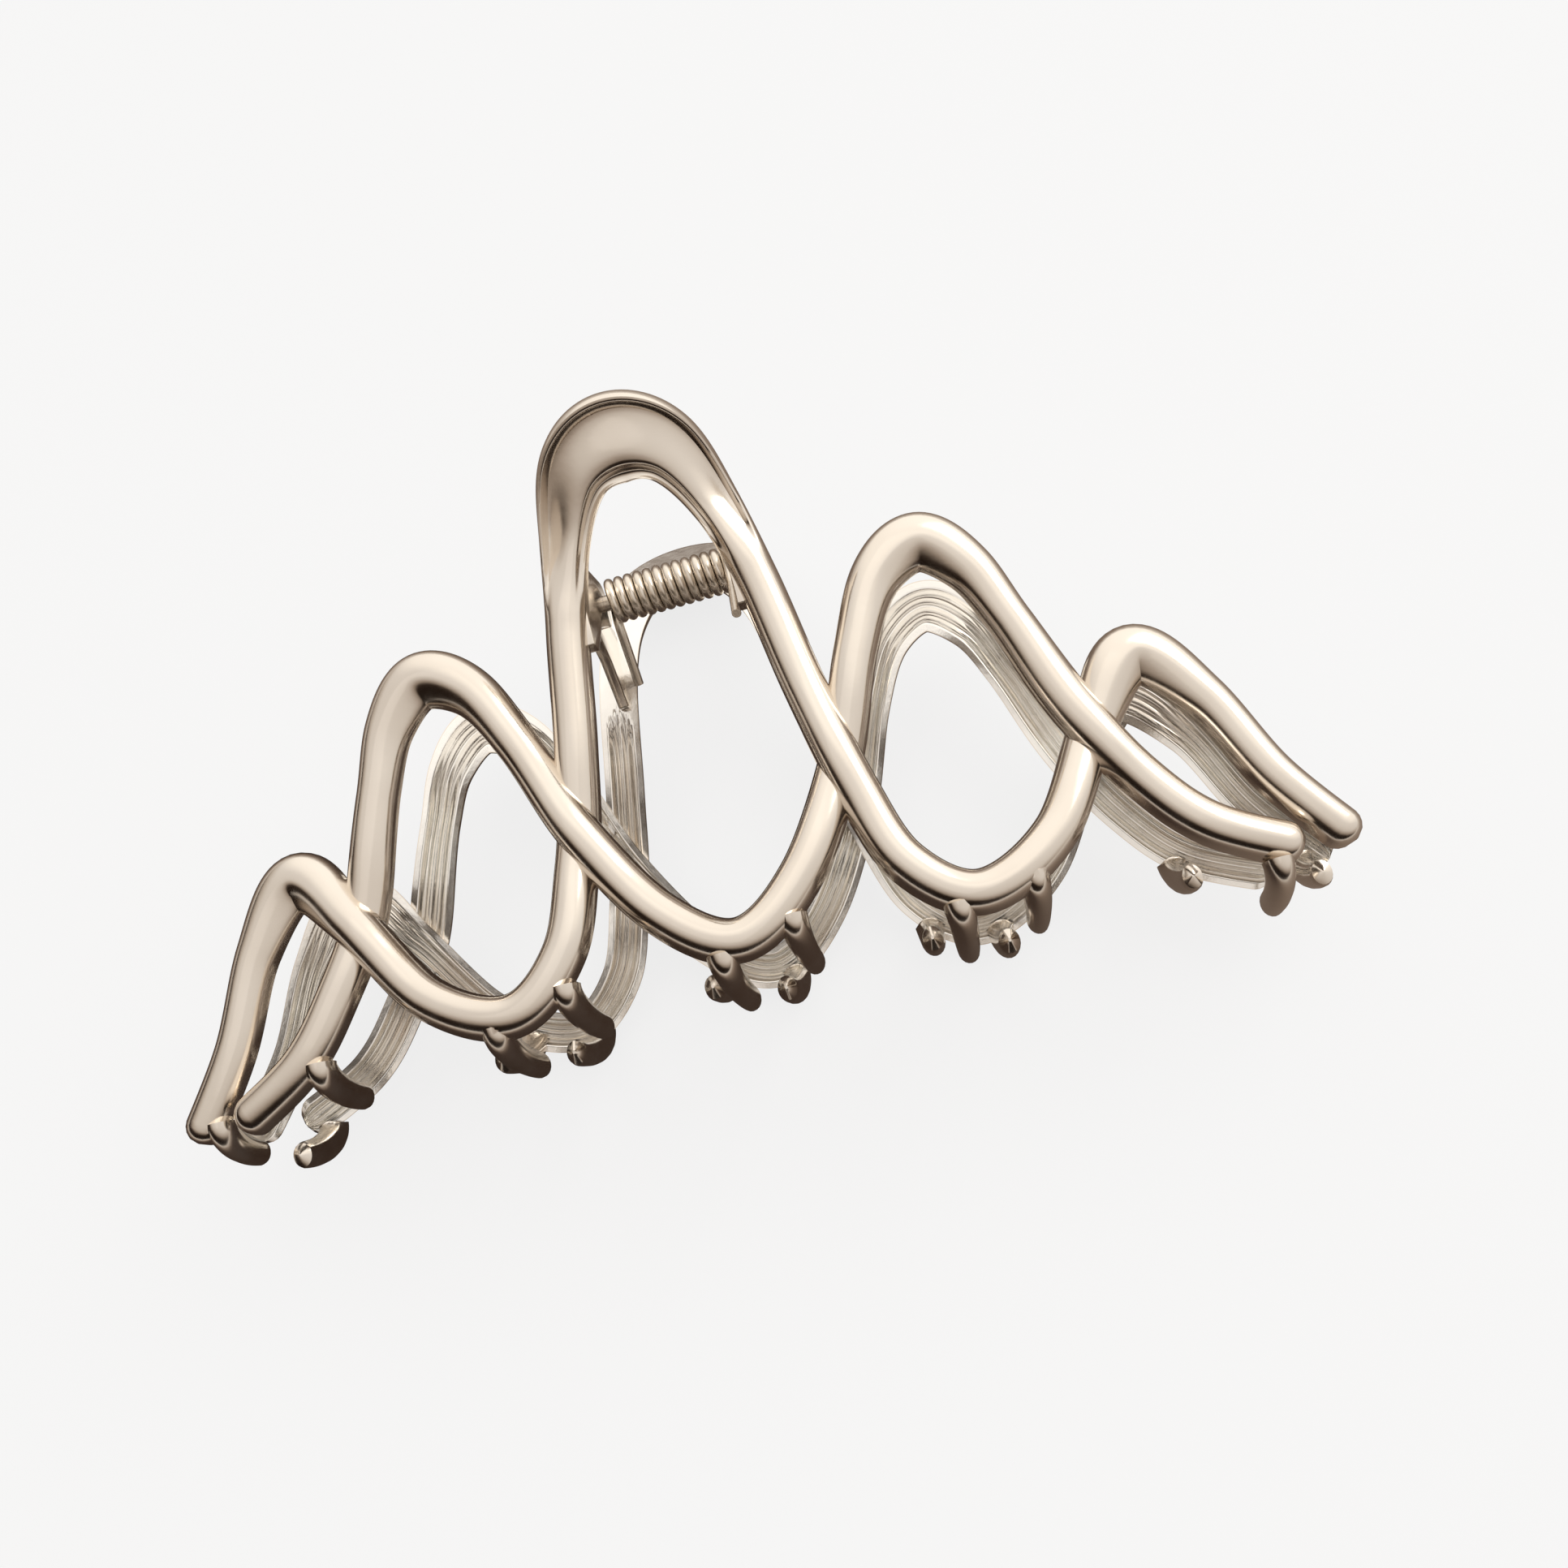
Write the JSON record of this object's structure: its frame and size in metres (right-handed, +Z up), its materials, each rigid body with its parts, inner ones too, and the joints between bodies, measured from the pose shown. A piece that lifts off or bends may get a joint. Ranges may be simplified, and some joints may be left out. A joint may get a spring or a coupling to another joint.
{
  "type": "claw hair clip",
  "caption": "Openwork metal claw hair clip with two wavy cast jaws, curled interlocking teeth, thumb handles, and a hinge pin with a torsion spring.",
  "frame": {"origin": "centre of the bounding box's bottom face: the clip lies closed on its back, on the lower jaw", "axes": "+X along the hinge pin and the clip's length, +Y from the teeth towards the thumb handles, +Z up from the lower jaw to the upper jaw"},
  "size_m": [0.109, 0.0602, 0.0394],
  "materials": {
    "plated_casting": "champagne plated die casting, polished outside and satin in the inner channels",
    "pin_steel": "plated steel rivet",
    "spring_wire": "drawn spring wire, plated"
  },
  "bodies": {
    "lower": {"lower_jaw": "plated_casting", "hinge_pin": "pin_steel", "torsion_spring": "spring_wire"},
    "upper": {"upper_jaw": "plated_casting"}
  },
  "joints": [
    {"name": "jaw_hinge", "type": "hinge", "parent": "lower", "child": "upper", "pos_m": [0, 0.0162, 0.0185], "axis": [-1, 0, 0], "range_deg": [0, 65], "stiffness_Nm_per_rad": 0.16, "springref_deg": -34.38, "deforming": ["torsion_spring"]}
  ]
}
